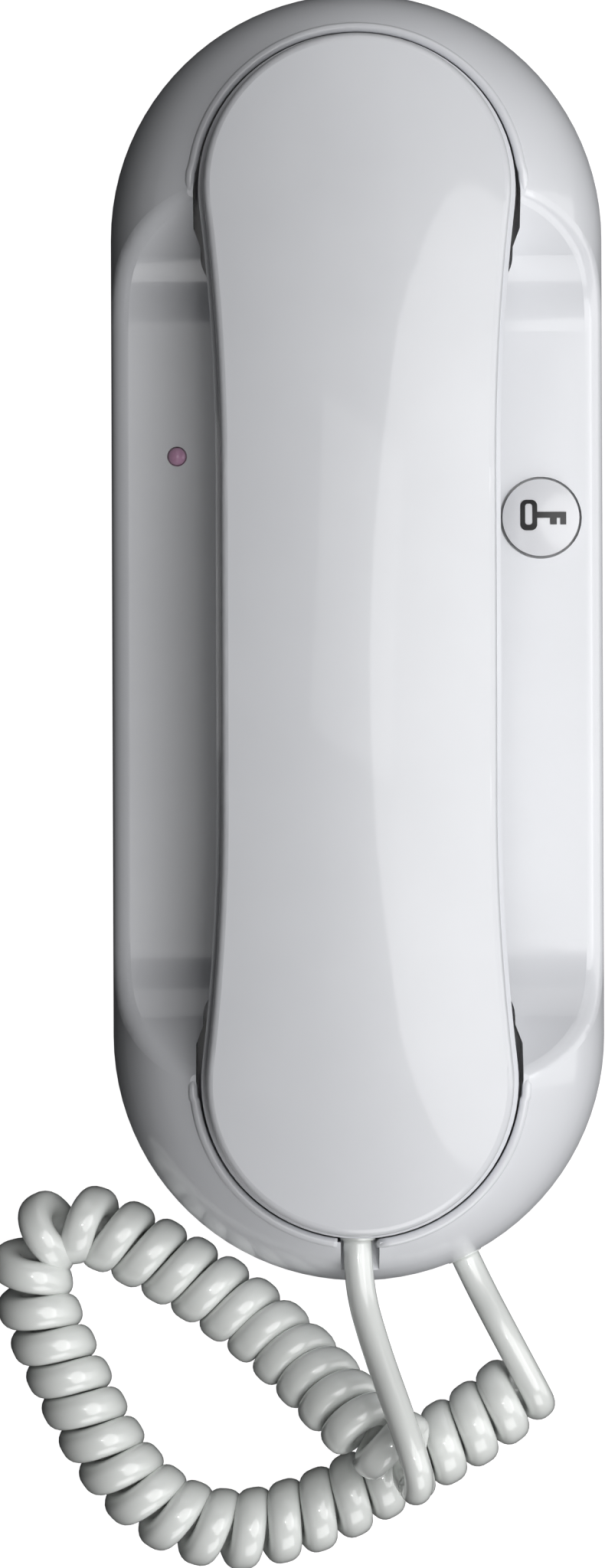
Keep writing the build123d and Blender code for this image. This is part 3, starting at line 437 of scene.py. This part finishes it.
def key_sign():
    """A plain key: a rounded ring, its shaft and two teeth, laid on the button's dome."""
    verts, faces = [], []

    def add(x, y):
        verts.append((BUTTON[0] + x / 1000, BUTTON[1] + y / 1000, dome_height(x / 1000, y / 1000)))
        return len(verts) - 1

    def rounded(cx, cy, hx, hy, r):
        """A rounded rectangle's outline, with points along its straight sides too."""
        n = CORNER_STEPS
        row = []
        for qx, qy, start in ((1, 1, 0), (-1, 1, 90), (-1, -1, 180), (1, -1, 270)):
            for k in range(n + 1):
                a = math.radians(start + 90 * k / n)
                row.append((cx + qx * (hx - r) + r * math.cos(a), cy + qy * (hy - r) + r * math.sin(a)))
        full = []
        for i, here in enumerate(row):
            full.append(here)
            if i % (n + 1) == n:
                there = row[(i + 1) % len(row)]
                for t in range(1, SIDE_STEPS):
                    full.append(tuple(a + (b - a) * t / SIDE_STEPS for a, b in zip(here, there)))
        return full

    outer = [add(*p) for p in rounded(*KEY_RING)]
    inner = [add(*p) for p in rounded(*KEY_HOLE)]
    size = len(outer)
    for k in range(size):
        faces.append((outer[k], outer[(k + 1) % size], inner[(k + 1) % size], inner[k]))

    def patch(x0, y0, x1, y1, nx, ny):
        grid = [[add(x0 + (x1 - x0) * i / nx, y0 + (y1 - y0) * j / ny) for i in range(nx + 1)]
                for j in range(ny + 1)]
        for j in range(ny):
            for i in range(nx):
                faces.append((grid[j][i], grid[j][i + 1], grid[j + 1][i + 1], grid[j + 1][i]))

    for bar in KEY_BARS:
        patch(*bar)
    obj = mesh_object("key_sign", verts, faces)
    obj.data.materials.append(ink)
    return obj


key = key_sign()

# The pockets' rounded rims: a bead along each pocket's outline, sunk into the cover
POCKET_RADIUS = 0.027
POCKET_CENTRE = 0.0735
THROAT_SHOULDER = 0.0675
NOTCH_MIDDLE = -0.0004
NOTCH_HALF = 0.0034
RIM_RADIUS = 0.0008
RIM_SINK = 0.00057
RIM_TIP = 0.08
RIM_TIP_STEPS = 3
RIM_STEPS = 60
RIM_SIDES = 20
SIDE_SHARES = (0, 0.5, 1)
SKIN_OFFSET = 0.0002
PROBE_HEIGHT = 0.06
LEAST_STEP = 1e-5
cover_tree = BVHTree.FromObject(nodes["base_cover"], bpy.context.evaluated_depsgraph_get())
cover_frame = nodes["base_cover"].matrix_world


def rim_place(spot, outward):
    """The middle of the bead beside a spot of the pocket's outline, from the cover's own skin."""
    beside = spot + outward * SKIN_OFFSET
    back = cover_frame.inverted()
    start = back @ Vector((beside.x, beside.y, PROBE_HEIGHT))
    down = (back.to_3x3() @ Vector((0, 0, -1))).normalized()
    hit, normal, _, _ = cover_tree.ray_cast(start, down)
    skin = cover_frame @ hit
    normal = (cover_frame.to_3x3() @ normal).normalized()
    return Vector((spot.x, spot.y, skin.z)) + outward * RIM_SINK - normal * RIM_SINK


def side_spots(side, end, shares):
    """Spots on the pocket's straight side, between its shoulder and its round end."""
    row = []
    for t in shares:
        y = THROAT_SHOULDER + (POCKET_CENTRE - THROAT_SHOULDER) * t
        row.append((Vector((POCKET_RADIUS * side, y * end, 0)), Vector((side, 0, 0))))
    return row


def rim_line(first, last, end, open_ends):
    """The bead's line round one end of the unit, in degrees, with a straight side at each open end."""
    spots = []
    if open_ends[0]:
        spots += side_spots(1, end, SIDE_SHARES)
    for k in range(RIM_STEPS + 1):
        a = math.radians(first + (last - first) * k / RIM_STEPS)
        way = Vector((math.cos(a), math.sin(a) * end, 0))
        spots.append((Vector((0, POCKET_CENTRE * end, 0)) + way * POCKET_RADIUS, way))
    if open_ends[1]:
        spots += side_spots(-1, end, SIDE_SHARES[::-1])
    line = [rim_place(*s) for s in spots]
    return [p for i, p in enumerate(line) if i == 0 or (p - line[i - 1]).length > LEAST_STEP]


def rim(name, first, last, end, open_ends):
    """The bead itself, which thins out at its open ends."""
    line = rim_line(first, last, end, open_ends)
    sizes = []
    for i in range(len(line)):
        shares = [1.0]
        if open_ends[0]:
            shares.append(RIM_TIP + i / RIM_TIP_STEPS)
        if open_ends[1]:
            shares.append(RIM_TIP + (len(line) - 1 - i) / RIM_TIP_STEPS)
        radius = RIM_RADIUS * min(shares)
        sizes.append((radius, radius, 2))
    made = tube(name, line, sizes, RIM_SIDES)
    made.data.materials.append(white)
    return made


notch_angle = math.degrees(math.asin(NOTCH_HALF / POCKET_RADIUS))
notch_lean = math.degrees(math.asin(-NOTCH_MIDDLE / POCKET_RADIUS))
rims = [
    rim("ear_rim", 0, 180, 1, (True, True)),
    rim("mouth_rim_right", 0, 90 + notch_lean - notch_angle, -1, (True, False)),
    rim("mouth_rim_left", 90 + notch_lean + notch_angle, 180, -1, (False, True)),
]

# Springs: the piece, the node it stands for, the body at its upper end, and its wire
SPRINGS = [
    ("button_coil", "button_spring", "button", 0.0006),
    ("hook_coil", "hook_spring", "plunger", 0.0007),
]
SPRING_STEPS = 28
SPRING_SIDES = 10
SPRING_PITCH = 2.2
LEAST_TURNS = 3


def wound_spring(name, node, wire):
    """A spring of round wire where the solids have a plain sleeve, with its lower and upper end."""
    box = [nodes[node].matrix_world @ Vector(c) for c in nodes[node].bound_box]
    low = Vector([min(c[i] for c in box) for i in range(3)])
    high = Vector([max(c[i] for c in box) for i in range(3)])
    middle = (low + high) / 2
    around = (high.x - low.x - wire) / 2
    climb = high.z - low.z - wire
    turns = max(LEAST_TURNS, int(climb / (wire * SPRING_PITCH)))
    line = []
    for k in range(turns * SPRING_STEPS + 1):
        a = 2 * math.pi * k / SPRING_STEPS
        z = low.z + wire / 2 + climb * k / (turns * SPRING_STEPS)
        line.append(Vector((middle.x + around * math.cos(a), middle.y + around * math.sin(a), z)))
    made = tube(name, line, [(wire / 2, wire / 2, 2)] * len(line), SPRING_SIDES)
    made.data.materials.append(steel)
    return made, (middle.x, middle.y, low.z + wire), (middle.x, middle.y, high.z - wire)


for name, node, body, wire in SPRINGS:
    coil, foot, head = wound_spring(name, node, wire)
    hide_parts(node)
    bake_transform(coil)

# Bodies that the remaining pieces follow
for piece in rims:
    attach(piece, "root")
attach(key, "button")
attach(curly, "root")
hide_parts("curly_cord", "base_lead")
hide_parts("handset_lead")
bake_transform(lead)

# Floor: white paper that lights nothing
FLOOR_REACH = 12
FLOOR_LEVEL = -0.0002
floor_corners = [
    (x * FLOOR_REACH, y * FLOOR_REACH, FLOOR_LEVEL) for x, y in ((-1, -1), (1, -1), (1, 1), (-1, 1))
]
floor = mesh_object("floor", floor_corners, [(0, 1, 2, 3)])
paper = bpy.data.materials.new("paper")
paper.use_nodes = True
paper_shader = paper.node_tree.nodes["Principled BSDF"]
paper_shader.inputs["Base Color"].default_value = (0.1, 0.1, 0.1, 1)
paper_shader.inputs["Emission Color"].default_value = (1, 1, 1, 1)
paper_shader.inputs["Emission Strength"].default_value = 1.0
floor.data.materials.append(paper)
floor.visible_diffuse = False
floor.visible_glossy = False

world = bpy.data.worlds.new("studio")
scene.world = world
world.use_nodes = True
background = world.node_tree.nodes["Background"]
background.inputs["Color"].default_value = (0.94, 0.97, 1.0, 1)
background.inputs["Strength"].default_value = 0.02


def panel(name, place, target, size, power, shape):
    """An area light at a place, turned to a target."""
    light = bpy.data.lights.new(name, "AREA")
    light.shape = shape
    light.size, light.size_y = size
    light.energy = power
    obj = bpy.data.objects.new(name, light)
    scene.collection.objects.link(obj)
    obj.location = place
    way = Vector(target) - Vector(place)
    obj.rotation_euler = way.to_track_quat("-Z", "Y").to_euler()
    return obj


# Light panels: place, aim, size in metres, power in watts and shape
UNIT = (0.0, 0.0, 0.02)
LIGHTS = [
    ("overhead", (0.84, -0.03, 1.5), (0.84, -0.03, 0.0), (1.53, 1.56), 18.0, "ELLIPSE"),
    ("right_side", (1.9, 0.0, 0.75), UNIT, (1.3, 2.6), 18.5, "RECTANGLE"),
    ("lower_side", (0.55, -1.7, 0.9), UNIT, (1.4, 1.2), 13.5, "RECTANGLE"),
    ("left_fill", (0.0, 0.1, 1.6), (-0.02, 0.0, 0.0), (0.5, 0.5), 0.95, "RECTANGLE"),
    ("upper_side", (0.4, 1.65, 0.9), UNIT, (1.5, 1.2), 4.6, "RECTANGLE"),
    ("flash", (0.02, -0.08, 1.3), (0.0, -0.1, 0.0), (0.035, 0.035), 0.9, "RECTANGLE"),
]
lights = {row[0]: panel(*row) for row in LIGHTS}

# The flash lights the cord alone
lit = bpy.data.collections.new("lit_by_flash")
for obj in (curly, lead):
    lit.objects.link(obj)
lights["flash"].light_linking.receiver_collection = lit
